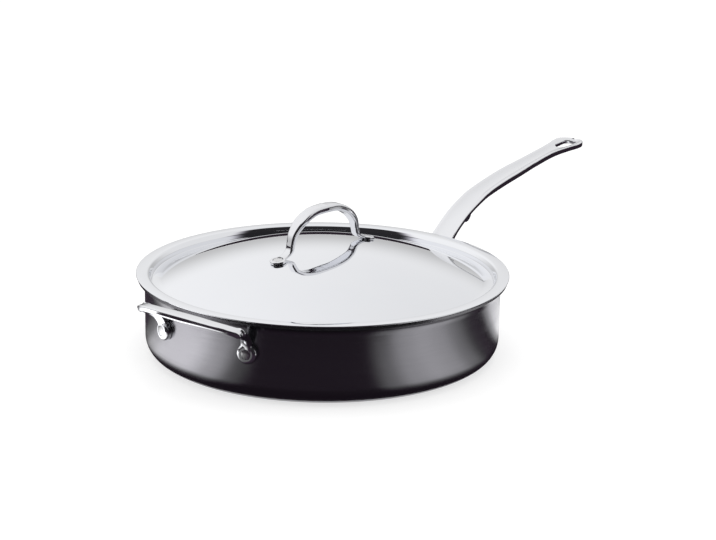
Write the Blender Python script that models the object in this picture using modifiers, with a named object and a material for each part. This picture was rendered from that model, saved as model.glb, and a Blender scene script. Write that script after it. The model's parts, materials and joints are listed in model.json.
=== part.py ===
"""Braising pan with a domed lid, built in metres with +Z up.

The origin is the centre of the pan's underside, and +X runs along the long
handle. The helper handle sits opposite it, on the -X side.
"""

import math

import bmesh
import bpy
from mathutils import Matrix, Vector

# Pan body
WALL_RADIUS = 0.152
RIM_HEIGHT = 0.0695
BASE_CORNER_RADIUS = 0.0165
RIM_FLARE = 0.006
FLARE_BEND_RADIUS = 0.0085
SHELL_THICKNESS = 0.0017
LINING_THICKNESS = 0.0006

# Clearance between two pieces that touch
SEAT_GAP = 0.0003

# Lid
LID_THICKNESS = 0.001
LID_OVERHANG = 0.00125
LID_FLANGE_WIDTH = 0.0103
LID_SLOPE_WIDTH = 0.0025
LID_SLOPE_DEPTH = 0.0037
LID_WALL_DRAFT = 0.0005
LID_WALL_DEPTH = 0.0039
LID_CHANNEL_WIDTH = 0.0055
LID_DOME_RISE = 0.029
LID_CREST_RADIUS = 0.002
LID_BEND_RADIUS = 0.0006
LID_TURN = math.radians(-3.5)

# Rivets
RIVET_HEAD_RADIUS = 0.0042
RIVET_HEAD_THICKNESS = 0.0012
RIVET_DOME = 0.0003
RIVET_SHANK_RADIUS = 0.003
RIVET_INNER_RADIUS = 0.0044
RIVET_INNER_THICKNESS = 0.0005

# Long handle
HANDLE_LENGTH = 0.2385
HANDLE_RISE = 0.0769
HANDLE_WIDTH = 0.022
HANDLE_TIP_WIDTH = 0.028
HANDLE_EDGE = 0.0046
HANDLE_GROOVE = 0.0022
HANDLE_RAIL = 0.0028
HANDLE_RIVET_HEIGHT = 0.0455
HANDLE_RIVET_SPACING = 0.040
SADDLE_LUG_RADIUS = 0.0105
SADDLE_THICKNESS = 0.0046
HANG_HOLE_LENGTH = 0.026
HANG_HOLE_WIDTH = 0.012
HANG_HOLE_MARGIN = 0.0048
STOP_LUG_REACH = 0.0465
STOP_LUG_RADIUS = 0.0086

# Helper handle
HELPER_RIVET_HEIGHT = 0.0423
HELPER_RIVET_SPACING = 0.090
HELPER_LUG_RADIUS = 0.0086
HELPER_LUG_THICKNESS = 0.0061
HELPER_LUG_DISH = 0.0009
HELPER_REACH = 0.0190
HELPER_HALF_SPAN = 0.0528
HELPER_BAR_HEIGHT = 0.0682
HELPER_BAR_WIDTH = 0.0105
HELPER_BAR_THICKNESS = 0.0049
HELPER_NECK_WIDTH = 0.0084
HELPER_NECK_THICKNESS = 0.0048
HELPER_SECTION_POWER = 0.65

# Lid handle
LID_HANDLE_RISE = 0.0332
LID_HANDLE_SPAN = 0.081
LID_HANDLE_TOP_WIDTH = 0.0130
LID_HANDLE_LEG_WIDTH = 0.0065
LID_HANDLE_THICKNESS = 0.0068
LID_HANDLE_LEG_THICKNESS = 0.0040
LID_HANDLE_SECTION_POWER = 0.85
LID_FOOT_RADIUS = 0.0070
LID_FOOT_THICKNESS = 0.0024
LID_FOOT_OFFSET = 0.0140

# Facets of the round pieces
PAN_STEPS = 60
RIVET_STEPS = 16
LUG_STEPS = 24
FORM_STEPS = 120
SHARP_ANGLE = math.radians(32)

BODY_THICKNESS = SHELL_THICKNESS + SEAT_GAP + LINING_THICKNESS
FLARE_ANGLE = math.acos(1 - RIM_FLARE / FLARE_BEND_RADIUS)
FLARE_BASE = RIM_HEIGHT - (FLARE_BEND_RADIUS + BODY_THICKNESS) * math.sin(FLARE_ANGLE)
RIM_RADIUS = WALL_RADIUS + RIM_FLARE
LID_RADIUS = RIM_RADIUS + LID_OVERHANG
LID_TOP = RIM_HEIGHT + SEAT_GAP + LID_THICKNESS
LID_WALL_TOP = LID_TOP - LID_SLOPE_DEPTH
LID_CHANNEL_TOP = LID_WALL_TOP - LID_WALL_DEPTH
LID_CREST_EDGE = LID_RADIUS - LID_FLANGE_WIDTH
LID_WALL_RADIUS = LID_CREST_EDGE - LID_SLOPE_WIDTH
LID_WALL_FOOT_RADIUS = LID_WALL_RADIUS - LID_WALL_DRAFT
DOME_RADIUS = LID_WALL_FOOT_RADIUS - LID_CHANNEL_WIDTH
DOME_CURVE = (DOME_RADIUS ** 2 + LID_DOME_RISE ** 2) / (2 * LID_DOME_RISE)
DOME_TOP = LID_CHANNEL_TOP + LID_DOME_RISE


def clear_scene():
    for obj in list(bpy.data.objects):
        bpy.data.objects.remove(obj, do_unlink=True)


def new_collection(name):
    group = bpy.data.collections.new(name)
    bpy.context.scene.collection.children.link(group)
    return group


def metal(name, colour, roughness):
    material = bpy.data.materials.new(name)
    material.use_nodes = True
    shader = material.node_tree.nodes["Principled BSDF"]
    shader.inputs["Base Color"].default_value = (*colour, 1)
    shader.inputs["Metallic"].default_value = 1
    shader.inputs["Roughness"].default_value = roughness
    material.diffuse_color = (*colour, 1)
    return material


def add_object(name, mesh, group):
    obj = bpy.data.objects.new(name, mesh)
    group.objects.link(obj)
    return obj


def hide_as_cutter(obj):
    obj.hide_render = True
    obj.display_type = "WIRE"
    return obj


def boolean(obj, cutter, operation="DIFFERENCE"):
    modifier = obj.modifiers.new(operation.title() + " " + cutter.name, "BOOLEAN")
    modifier.operation = operation
    modifier.object = cutter


def finish(obj, material):
    """Apply the modifiers, shade round faces smooth and give the piece its material."""
    evaluated = obj.evaluated_get(bpy.context.evaluated_depsgraph_get())
    mesh = bpy.data.meshes.new_from_object(evaluated)
    obj.modifiers.clear()
    obj.data = mesh
    mesh.name = obj.name
    mesh.materials.clear()
    mesh.materials.append(material)
    mesh.shade_smooth()
    mesh.set_sharp_from_angle(angle=SHARP_ANGLE)
    return obj


def arc(centre, radius, start, end, steps):
    """Points on an arc in a profile plane, angles measured from its first axis."""
    points = []
    for i in range(steps + 1):
        angle = start + (end - start) * i / steps
        points.append((centre[0] + radius * math.cos(angle), centre[1] + radius * math.sin(angle)))
    return points


def smooth_rows(knots, per_span):
    """Rows on a smooth curve through the knots; every column is carried along."""
    first = [2 * a - b for a, b in zip(knots[0], knots[1])]
    last = [2 * a - b for a, b in zip(knots[-1], knots[-2])]
    padded = [first, *knots, last]
    rows = []
    for before, start, end, after in zip(padded, padded[1:], padded[2:], padded[3:]):
        for i in range(per_span):
            t = i / per_span
            rows.append([
                0.5 * (2 * b + (c - a) * t + (2 * a - 5 * b + 4 * c - d) * t ** 2
                       + (3 * b - a - 3 * c + d) * t ** 3)
                for a, b, c, d in zip(before, start, end, after)
            ])
    rows.append(list(knots[-1]))
    return rows


def turned(name, profile, steps, group):
    """A solid of revolution about Z; the profile runs from the axis at the top,
    down the outer side, to the axis at the bottom."""
    mesh = bpy.data.meshes.new(name)
    verts = [(radius, 0, height) for radius, height in profile]
    edges = [(i, i + 1) for i in range(len(verts) - 1)]
    mesh.from_pydata(verts, edges, [])
    obj = add_object(name, mesh, group)
    screw = obj.modifiers.new("Turn", "SCREW")
    screw.axis = "Z"
    screw.steps = steps
    screw.render_steps = steps
    screw.use_merge_vertices = True
    screw.merge_threshold = 0.00001
    return obj


def loft(name, sections, group, open_end=False):
    """Skin a list of closed sections that all have the same number of points."""
    mesh = bpy.data.meshes.new(name)
    bm = bmesh.new()
    loops = [[bm.verts.new(point) for point in section] for section in sections]
    for loop, following in zip(loops, loops[1:]):
        count = len(loop)
        for i in range(count):
            j = (i + 1) % count
            bm.faces.new((loop[i], loop[j], following[j], following[i]))
    bm.faces.new(list(reversed(loops[0])))
    if not open_end:
        bm.faces.new(loops[-1])
    bmesh.ops.recalc_face_normals(bm, faces=bm.faces)
    bm.to_mesh(mesh)
    bm.free()
    return add_object(name, mesh, group)


def prism(name, outline, depth, placement, group):
    """An outline in XY pushed through the depth range along Z, then placed."""
    mesh = bpy.data.meshes.new(name)
    bm = bmesh.new()
    face = bm.faces.new([bm.verts.new((x, y, depth[0])) for x, y in outline])
    grown = bmesh.ops.extrude_face_region(bm, geom=[face])
    moved = [item for item in grown["geom"] if isinstance(item, bmesh.types.BMVert)]
    bmesh.ops.translate(bm, verts=moved, vec=(0, 0, depth[1] - depth[0]))
    bmesh.ops.recalc_face_normals(bm, faces=bm.faces)
    bm.transform(placement)
    bm.to_mesh(mesh)
    bm.free()
    return add_object(name, mesh, group)


def stadium(length, width, steps):
    """A long outline with two half-round ends, centred on the origin."""
    radius = width / 2
    offset = length / 2 - radius
    right = arc((offset, 0), radius, -math.pi / 2, math.pi / 2, steps)
    left = arc((-offset, 0), radius, math.pi / 2, 3 * math.pi / 2, steps)
    return right + left


def rounded_section(centre, across, up, half_width, half_height, power, points):
    """A superellipse in the plane of two axes; a lower power has squarer corners."""
    section = []
    for i in range(points):
        angle = 2 * math.pi * (i + 0.5) / points
        c, s = math.cos(angle), math.sin(angle)
        x = math.copysign(abs(c) ** power, c) * half_width
        y = math.copysign(abs(s) ** power, s) * half_height
        section.append(centre + across * x + up * y)
    return section


def radial_placement(azimuth, height):
    """Local Z points outward from the pan's axis at this azimuth and height."""
    turn = Matrix.Rotation(azimuth, 4, "Z") @ Matrix.Rotation(math.pi / 2, 4, "Y")
    return Matrix.Translation((0, 0, height)) @ turn


def pan_line(depth):
    """The pan's profile at a depth below its outer surface, from the axis to the rim."""
    corner = (WALL_RADIUS - BASE_CORNER_RADIUS, BASE_CORNER_RADIUS)
    flare = (WALL_RADIUS + FLARE_BEND_RADIUS, FLARE_BASE)
    line = [(0, depth)]
    line += arc(corner, BASE_CORNER_RADIUS - depth, -math.pi / 2, 0, 4)
    line += arc(flare, FLARE_BEND_RADIUS + depth, math.pi, math.pi - FLARE_ANGLE, 3)
    return line


def dome_height(radius):
    """Height of the lid's upper surface at a radius on the dome."""
    return DOME_TOP - DOME_CURVE + math.sqrt(DOME_CURVE ** 2 - radius ** 2)


def dome_placement(radius, side):
    """Local Z along the dome's normal, at a radius under the lid handle's +X or -X end."""
    tilt = math.asin(radius / DOME_CURVE)
    origin = Vector((side * radius, 0, dome_height(radius)))
    upright = Matrix.Translation(origin) @ Matrix.Rotation(side * tilt, 4, "Y")
    return Matrix.Rotation(LID_TURN, 4, "Z") @ upright


class Rivet:
    """A two-headed rivet along local Z, with the stepped hole that it needs.

    inner is its flush inner face, sheet the far side of the sheet that the
    inner head fills, seat the shoulder under its outer head, and face the
    outer surface that the head finishes level with.
    """

    def __init__(self, name, placement, inner, sheet, seat, face):
        self.name = name
        self.placement = placement
        self.inner = inner
        self.sheet = sheet
        self.seat = seat
        self.face = face

    def solid(self, group):
        inner_back = self.inner + RIVET_INNER_THICKNESS
        profile = [
            (0, self.face + RIVET_DOME),
            (RIVET_HEAD_RADIUS * 0.9, self.face),
            (RIVET_HEAD_RADIUS, self.face - RIVET_DOME),
            (RIVET_HEAD_RADIUS, self.seat),
            (RIVET_SHANK_RADIUS, self.seat),
            (RIVET_SHANK_RADIUS, inner_back),
            (RIVET_INNER_RADIUS, inner_back),
            (RIVET_INNER_RADIUS, self.inner),
            (0, self.inner),
        ]
        obj = turned(self.name, profile, RIVET_STEPS, group)
        obj.matrix_world = self.placement
        return obj

    def hole(self, group):
        clear = 0.01
        profile = [
            (0, self.face + clear),
            (RIVET_HEAD_RADIUS + SEAT_GAP, self.face + clear),
            (RIVET_HEAD_RADIUS + SEAT_GAP, self.seat - SEAT_GAP),
            (RIVET_SHANK_RADIUS + SEAT_GAP, self.seat - SEAT_GAP),
            (RIVET_SHANK_RADIUS + SEAT_GAP, self.sheet),
            (RIVET_INNER_RADIUS + SEAT_GAP, self.sheet),
            (RIVET_INNER_RADIUS + SEAT_GAP, self.inner - clear),
            (0, self.inner - clear),
        ]
        obj = turned(self.name + "_hole", profile, RIVET_STEPS, group)
        obj.matrix_world = self.placement
        return hide_as_cutter(obj)


def wall_rivet(name, azimuth, height, lug_thickness):
    """A rivet through the lining, the shell and a handle's lug."""
    inner = WALL_RADIUS - BODY_THICKNESS - SEAT_GAP / 6
    lining_back = WALL_RADIUS - SHELL_THICKNESS - SEAT_GAP / 2
    face = WALL_RADIUS + SEAT_GAP + lug_thickness
    seat = face - RIVET_HEAD_THICKNESS
    return Rivet(name, radial_placement(azimuth, height), inner, lining_back, seat, face)


def make_pan_shell(holes, group):
    profile = pan_line(SHELL_THICKNESS) + pan_line(0)[::-1]
    obj = turned("pan_shell", profile, PAN_STEPS, group)
    for hole in holes:
        boolean(obj, hole)
    return finish(obj, metal("dark_titanium", (0.10, 0.10, 0.11), 0.22))


def make_pan_lining(holes, group):
    profile = pan_line(BODY_THICKNESS) + pan_line(SHELL_THICKNESS + SEAT_GAP)[::-1]
    obj = turned("pan_lining", profile, PAN_STEPS, group)
    for hole in holes:
        boolean(obj, hole)
    return finish(obj, metal("satin_steel", (0.70, 0.70, 0.71), 0.32))


def lid_line():
    """The lid's upper surface, from the centre of the dome to the flange's edge."""
    bend = LID_BEND_RADIUS
    outer_bend = LID_CREST_RADIUS + LID_THICKNESS
    wall = math.atan2(LID_WALL_DEPTH, LID_WALL_DRAFT)
    slope = math.atan2(LID_SLOPE_DEPTH, LID_SLOPE_WIDTH)
    dome_end = math.acos(DOME_RADIUS / DOME_CURVE)
    foot = (LID_WALL_FOOT_RADIUS - bend * math.tan(wall / 2), LID_CHANNEL_TOP + bend)
    crest = (LID_CREST_EDGE + outer_bend * math.tan(slope / 2), LID_TOP - outer_bend)
    line = arc((0, DOME_TOP - DOME_CURVE), DOME_CURVE, math.pi / 2, dome_end, 6)
    line += arc(foot, bend, -math.pi / 2, -math.pi / 2 + wall, 2)
    line.append((LID_WALL_RADIUS, LID_WALL_TOP))
    line += arc(crest, outer_bend, math.pi / 2 + slope, math.pi / 2, 2)
    line.append((LID_RADIUS, LID_TOP))
    return line


def make_lid_shell(holes, group):
    obj = turned("lid_shell", lid_line(), PAN_STEPS, group)
    thicken = obj.modifiers.new("Sheet", "SOLIDIFY")
    thicken.thickness = LID_THICKNESS
    thicken.offset = -1
    thicken.use_even_offset = True
    for hole in holes:
        boolean(obj, hole)
    return finish(obj, metal("polished_steel", (0.82, 0.83, 0.85), 0.08))


def handle_section(point, normal, half_width, edge, groove, rail):
    """The long handle's section: two rails with a dished channel between them."""
    inner = half_width - min(rail, half_width * 0.5)
    soft = min(edge * 0.22, half_width * 0.2)
    half = [
        (0, -groove),
        (inner * 0.55, -groove * 0.8),
        (inner, -groove * 0.12),
        (half_width - soft, 0),
        (half_width, -soft),
        (half_width, -edge + soft),
        (half_width - soft, -edge),
        (inner * 0.8, -edge - groove * 0.1),
        (0, -edge - groove * 0.35),
    ]
    mirrored = [(-y, n) for y, n in half[-2:0:-1]]
    return [
        Vector((point.x + normal.x * n, y, point.z + normal.z * n)) for y, n in half + mirrored
    ]


def handle_rows():
    """Rows of reach from the wall, height of the rails, width and edge depth."""
    root = HANDLE_RIVET_HEIGHT
    tip = HANDLE_LENGTH
    rise = HANDLE_RISE
    width = HANDLE_WIDTH
    edge = HANDLE_EDGE
    knots = [
        (0.003, root + 0.080 * rise, width * 1.42, edge * 2.2),
        (0.010, root + 0.155 * rise, width * 1.18, edge * 1.7),
        (tip * 0.087, root + 0.299 * rise, width * 1.06, edge * 0.80),
        (tip * 0.176, root + 0.498 * rise, width * 1.05, edge * 0.70),
        (tip * 0.274, root + 0.644 * rise, width * 1.05, edge * 0.75),
        (tip * 0.340, root + 0.711 * rise, width, edge * 0.92),
        (tip * 0.440, root + 0.782 * rise, width, edge),
        (tip * 0.539, root + 0.838 * rise, width, edge),
        (tip * 0.639, root + 0.888 * rise, width * 0.90, edge),
        (tip * 0.772, root + 0.948 * rise, width * 0.87, edge),
        (tip * 0.863, root + 0.973 * rise, width * 1.08, edge * 0.95),
        (tip * 0.920, root + 0.987 * rise, HANDLE_TIP_WIDTH * 0.98, edge * 0.92),
    ]
    rows = smooth_rows(knots, 2)
    end_radius = HANDLE_TIP_WIDTH / 2
    round_start = tip - end_radius
    rows.append([round_start, root + rise * 0.993, HANDLE_TIP_WIDTH, edge * 0.92])
    for i in range(1, 6):
        angle = math.radians(15 * i + 3)
        rows.append([
            round_start + end_radius * math.sin(angle), root + rise,
            HANDLE_TIP_WIDTH * math.cos(angle), edge * 0.92,
        ])
    return rows


def make_long_handle(rivets, wall_form, group, cutters):
    rows = handle_rows()
    sections = []
    for i, (reach, height, width, edge) in enumerate(rows):
        before = rows[max(i - 1, 0)]
        after = rows[min(i + 1, len(rows) - 1)]
        slope = Vector((after[0] - before[0], 0, after[1] - before[1])).normalized()
        normal = Vector((-slope.z, 0, slope.x))
        half_width = width / 2
        groove = min(HANDLE_GROOVE, half_width * 0.3)
        point = Vector((WALL_RADIUS + reach, 0, height))
        sections.append(handle_section(point, normal, half_width, edge, groove, HANDLE_RAIL))
    obj = loft("long_handle", sections, group)

    saddle_length = HANDLE_RIVET_SPACING + 2 * SADDLE_LUG_RADIUS
    outline = stadium(saddle_length, 2 * SADDLE_LUG_RADIUS, 8)
    saddle_face = WALL_RADIUS + SEAT_GAP + SADDLE_THICKNESS
    depth = (WALL_RADIUS * 0.9, saddle_face * 1.05)
    upright = Matrix.Rotation(math.pi / 2, 4, "Z") @ Matrix.Rotation(math.pi / 2, 4, "X")
    placement = Matrix.Translation((0, 0, HANDLE_RIVET_HEIGHT)) @ upright
    saddle = prism("saddle_block", outline, depth, placement, cutters)
    face_form = turned(
        "saddle_face", [(0, 0.1), (saddle_face, 0.1), (saddle_face, 0), (0, 0)], FORM_STEPS, cutters,
    )
    boolean(saddle, hide_as_cutter(face_form), "INTERSECT")
    boolean(obj, hide_as_cutter(saddle), "UNION")

    lug = stop_lug(rows, cutters)
    boolean(obj, lug, "UNION")
    boolean(obj, wall_form)

    hole_centre = WALL_RADIUS + HANDLE_LENGTH - HANG_HOLE_MARGIN - HANG_HOLE_LENGTH / 2
    slot = prism(
        "hang_hole", stadium(HANG_HOLE_LENGTH, HANG_HOLE_WIDTH, 8), (0, 0.3),
        Matrix.Translation((hole_centre, 0, 0)), cutters,
    )
    boolean(obj, hide_as_cutter(slot))
    for rivet in rivets:
        boolean(obj, rivet)
    return finish(obj, metal("cast_steel", (0.74, 0.74, 0.75), 0.2))


def stop_lug(rows, cutters):
    """The small rounded lug under the elbow, a half disc that grows from the strap."""
    near = min(range(len(rows)), key=lambda i: abs(rows[i][0] - STOP_LUG_REACH))
    before, row, after = rows[near - 1], rows[near], rows[near + 1]
    slope = math.atan2(after[1] - before[1], after[0] - before[0])
    depth = (row[3] + HANDLE_GROOVE * 1.35) / 2
    reach = WALL_RADIUS + STOP_LUG_REACH
    height = row[1] + (STOP_LUG_REACH - row[0]) * math.tan(slope)
    centre = (reach + depth * math.sin(slope), height - depth * math.cos(slope))
    outline = arc(centre, STOP_LUG_RADIUS, slope - math.pi, slope, 10)
    half = HANDLE_WIDTH * 0.3
    upright = Matrix.Rotation(math.pi / 2, 4, "X")
    return hide_as_cutter(prism("stop_lug", outline, (-half, half), upright, cutters))


def helper_rows():
    """Half of the helper handle's path, from a lug to the middle of its bar.

    Each row is the distance from the pan's axis, the sideways offset, the
    height, and the section's size in the loop's plane and across it.
    """
    side = HELPER_RIVET_SPACING / 2
    lug = math.sqrt(WALL_RADIUS ** 2 - side ** 2) + HELPER_LUG_THICKNESS * 0.42
    bar = WALL_RADIUS + HELPER_REACH
    half = HELPER_HALF_SPAN
    low = HELPER_RIVET_HEIGHT
    high = HELPER_BAR_HEIGHT
    rise = high - low
    wide = HELPER_BAR_WIDTH
    thick = HELPER_BAR_THICKNESS
    neck = HELPER_NECK_WIDTH
    neck_thick = HELPER_NECK_THICKNESS
    return [
        (lug, side, low + rise * 0.04, neck * 1.04, neck_thick * 0.96),
        (lug + 0.0011, side + 0.0020, low + rise * 0.33, neck, neck_thick),
        (lug + 0.0052, half - 0.0018, low + rise * 0.64, neck * 0.96, neck_thick * 1.06),
        (bar - 0.0126, half - 0.0004, low + rise * 0.86, neck * 0.92, neck_thick * 1.25),
        (bar - 0.0064, half + 0.0003, high - 0.0003, neck * 0.80, wide * 0.76),
        (bar - 0.0009, half - 0.0036, high + 0.0003, thick * 1.02, wide * 0.92),
        (bar - 0.0001, half - 0.0108, high + 0.0003, thick * 0.92, wide * 0.95),
        (bar - 0.0001, half * 0.62, high + 0.0002, thick * 0.92, wide * 0.97),
        (bar, half * 0.31, high, thick * 0.97, wide * 0.99),
        (bar, 0, high - 0.0001, thick, wide),
    ]


def make_helper_handle(azimuths, holes, wall_form, group, cutters):
    rows = smooth_rows(helper_rows(), 2)
    sections = []
    for i, row in enumerate(rows):
        before = rows[max(i - 1, 0)]
        after = rows[min(i + 1, len(rows) - 1)]
        path = Vector((before[0] - after[0], after[1] - before[1], after[2] - before[2]))
        path.normalize()
        if i == len(rows) - 1:
            path = Vector((0, -1, 0))
        outward = Vector((-1, 0, 0))
        across = (outward - path * outward.dot(path)).normalized()
        along = path.cross(across)
        centre = Vector((-row[0], row[1], row[2]))
        sections.append(rounded_section(
            centre, across, along, row[4] / 2, row[3] / 2, HELPER_SECTION_POWER, 12,
        ))
    for point in sections[-1]:
        point.y = 0
    obj = loft("helper_handle", sections, group, open_end=True)
    mirror = obj.modifiers.new("Other half", "MIRROR")
    mirror.use_axis = (False, True, False)
    mirror.merge_threshold = 0.00005

    face = WALL_RADIUS + SEAT_GAP + HELPER_LUG_THICKNESS
    for azimuth in azimuths:
        profile = [
            (0, face - HELPER_LUG_DISH),
            (RIVET_HEAD_RADIUS * 1.1, face - HELPER_LUG_DISH),
            (HELPER_LUG_RADIUS * 0.86, face),
            (HELPER_LUG_RADIUS * 0.96, face - HELPER_LUG_THICKNESS * 0.06),
            (HELPER_LUG_RADIUS, face - HELPER_LUG_THICKNESS * 0.18),
            (HELPER_LUG_RADIUS, WALL_RADIUS * 0.97),
            (0, WALL_RADIUS * 0.97),
        ]
        lug = turned("helper_lug", profile, LUG_STEPS, cutters)
        lug.matrix_world = radial_placement(azimuth, HELPER_RIVET_HEIGHT)
        boolean(obj, hide_as_cutter(lug), "UNION")
    boolean(obj, wall_form)
    for hole in holes:
        boolean(obj, hole)
    return finish(obj, metal("cast_steel_helper", (0.76, 0.76, 0.77), 0.18))


def lid_handle_rows(foot_radius):
    """Half of the lid handle's path, from a foot to the top of the arch.

    Each row is the distance from the middle, the height, and the strap's
    width and thickness.
    """
    half = LID_HANDLE_SPAN / 2
    ground = dome_height(foot_radius) + SEAT_GAP
    foot = LID_FOOT_THICKNESS
    leg_width = LID_HANDLE_LEG_WIDTH
    leg_thick = LID_HANDLE_LEG_THICKNESS
    thick = LID_HANDLE_THICKNESS
    base = dome_height(half)
    top = DOME_TOP + LID_HANDLE_RISE
    rise = top - base
    return [
        (foot_radius, ground + foot * 0.5, leg_width, foot),
        (half + 0.0052, base + rise * 0.068, leg_width, foot * 1.15),
        (half + 0.0006, base + rise * 0.163, leg_width, leg_thick),
        (half - 0.0010, base + rise * 0.310, leg_width, leg_thick * 1.15),
        (half * 0.905, base + rise * 0.549, leg_width * 1.2, thick * 0.76),
        (half * 0.690, base + rise * 0.797, leg_width * 1.54, thick * 0.88),
        (half * 0.360, base + rise * 0.966, LID_HANDLE_TOP_WIDTH * 0.94, thick * 0.97),
        (0, top, LID_HANDLE_TOP_WIDTH, thick),
    ]


def make_lid_handle(foot_radius, holes, group, cutters):
    rows = smooth_rows(lid_handle_rows(foot_radius), 2)
    sections = []
    for i, (reach, height, width, thickness) in enumerate(rows):
        before = rows[max(i - 1, 0)]
        after = rows[min(i + 1, len(rows) - 1)]
        path = Vector((after[0] - before[0], 0, after[1] - before[1])).normalized()
        if i == len(rows) - 1:
            path = Vector((-1, 0, 0))
        across = Vector((0, 1, 0))
        up = path.cross(across)
        centre = Vector((reach, 0, height))
        sections.append(rounded_section(
            centre, across, up, width / 2, thickness / 2, LID_HANDLE_SECTION_POWER, 12,
        ))
    for point in sections[-1]:
        point.x = 0
    obj = loft("lid_handle", sections, group, open_end=True)
    obj.matrix_world = Matrix.Rotation(LID_TURN, 4, "Z")
    mirror = obj.modifiers.new("Other half", "MIRROR")
    mirror.use_axis = (True, False, False)
    mirror.merge_threshold = 0.00005
    for side in (1, -1):
        profile = [
            (0, SEAT_GAP + LID_FOOT_THICKNESS),
            (LID_FOOT_RADIUS * 0.9, SEAT_GAP + LID_FOOT_THICKNESS),
            (LID_FOOT_RADIUS, SEAT_GAP + LID_FOOT_THICKNESS * 0.8),
            (LID_FOOT_RADIUS, SEAT_GAP),
            (0, SEAT_GAP),
        ]
        foot = turned("lid_foot", profile, LUG_STEPS, cutters)
        foot.matrix_world = dome_placement(foot_radius, side)
        boolean(obj, hide_as_cutter(foot), "UNION")
    for hole in holes:
        boolean(obj, hole)
    return finish(obj, metal("polished_cast_steel", (0.80, 0.80, 0.81), 0.12))


def lid_rivet(name, radius, side):
    """A rivet through a foot of the lid handle and the lid."""
    inner = -LID_THICKNESS - SEAT_GAP - RIVET_INNER_THICKNESS
    face = SEAT_GAP + LID_FOOT_THICKNESS
    seat = face - RIVET_HEAD_THICKNESS
    sheet = inner + RIVET_INNER_THICKNESS + SEAT_GAP / 2
    return Rivet(name, dome_placement(radius, side), inner, sheet, seat, face)


def build():
    clear_scene()
    parts = new_collection("braising_pan")
    cutters = new_collection("cutters")

    handle_turn = math.asin(HANDLE_RIVET_SPACING / 2 / WALL_RADIUS)
    helper_turn = math.asin(HELPER_RIVET_SPACING / 2 / WALL_RADIUS)
    helper_azimuths = (math.pi - helper_turn, math.pi + helper_turn)
    handle_rivets = [
        wall_rivet("long_handle_rivet_left", handle_turn, HANDLE_RIVET_HEIGHT, SADDLE_THICKNESS),
        wall_rivet("long_handle_rivet_right", -handle_turn, HANDLE_RIVET_HEIGHT, SADDLE_THICKNESS),
    ]
    lug_depth = HELPER_LUG_THICKNESS - HELPER_LUG_DISH
    helper_rivets = [
        wall_rivet("helper_rivet_left", helper_azimuths[0], HELPER_RIVET_HEIGHT, lug_depth),
        wall_rivet("helper_rivet_right", helper_azimuths[1], HELPER_RIVET_HEIGHT, lug_depth),
    ]
    foot_radius = LID_HANDLE_SPAN / 2 + LID_FOOT_OFFSET
    lid_rivets = [
        lid_rivet("lid_rivet_front", foot_radius, 1),
        lid_rivet("lid_rivet_back", foot_radius, -1),
    ]
    for rivet in handle_rivets + helper_rivets + lid_rivets:
        finish(rivet.solid(parts), metal(rivet.name + "_steel", (0.66, 0.66, 0.67), 0.25))

    handle_holes = [rivet.hole(cutters) for rivet in handle_rivets]
    helper_holes = [rivet.hole(cutters) for rivet in helper_rivets]
    lid_holes = [rivet.hole(cutters) for rivet in lid_rivets]
    wall_side = WALL_RADIUS + SEAT_GAP
    wall_form = hide_as_cutter(turned(
        "wall_form", [(0, 0.2), (wall_side, 0.2), (wall_side, -0.1), (0, -0.1)], FORM_STEPS, cutters,
    ))

    make_pan_shell(handle_holes + helper_holes, parts)
    make_pan_lining(handle_holes + helper_holes, parts)
    make_long_handle(handle_holes, wall_form, parts, cutters)
    make_helper_handle(helper_azimuths, helper_holes, wall_form, parts, cutters)
    make_lid_shell(lid_holes, parts)
    make_lid_handle(foot_radius, lid_holes, parts, cutters)


build()
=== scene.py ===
"""The looks of the braising pan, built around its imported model.

The frame is the CAD frame: metres, +Z up, the origin under the middle of the
pan and +X along the long handle.
"""

import json
import math

import bmesh
import bpy
from mathutils import Matrix, Vector

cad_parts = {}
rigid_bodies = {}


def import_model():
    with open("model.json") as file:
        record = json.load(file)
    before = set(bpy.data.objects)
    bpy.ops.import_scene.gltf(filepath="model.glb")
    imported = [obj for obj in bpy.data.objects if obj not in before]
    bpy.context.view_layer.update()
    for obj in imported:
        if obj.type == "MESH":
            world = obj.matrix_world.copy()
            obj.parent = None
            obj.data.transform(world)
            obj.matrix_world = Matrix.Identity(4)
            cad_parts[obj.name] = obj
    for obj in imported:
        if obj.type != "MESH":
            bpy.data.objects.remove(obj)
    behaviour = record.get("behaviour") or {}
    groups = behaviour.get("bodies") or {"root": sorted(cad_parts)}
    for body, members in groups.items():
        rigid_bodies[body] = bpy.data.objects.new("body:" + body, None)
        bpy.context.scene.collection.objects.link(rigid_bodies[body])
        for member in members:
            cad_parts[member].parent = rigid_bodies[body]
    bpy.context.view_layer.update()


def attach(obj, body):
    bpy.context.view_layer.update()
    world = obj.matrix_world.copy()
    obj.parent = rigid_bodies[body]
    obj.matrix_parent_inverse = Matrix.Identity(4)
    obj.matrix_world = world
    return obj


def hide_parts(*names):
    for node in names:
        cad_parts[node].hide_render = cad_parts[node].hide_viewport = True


for leftover in list(bpy.data.objects):
    bpy.data.objects.remove(leftover, do_unlink=True)
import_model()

# Pan body
WALL_RADIUS = 0.152
RIM_HEIGHT = 0.0695
BASE_CORNER_RADIUS = 0.0165
RIM_FLARE = 0.006
FLARE_BEND_RADIUS = 0.0085
SHELL_THICKNESS = 0.0017
LINING_THICKNESS = 0.0006

# Clearance between two pieces that touch, and how far the pan's rivets stand out inside
SEAT_GAP = 0.0003
INNER_HEAD_STAND = SEAT_GAP / 6

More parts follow.
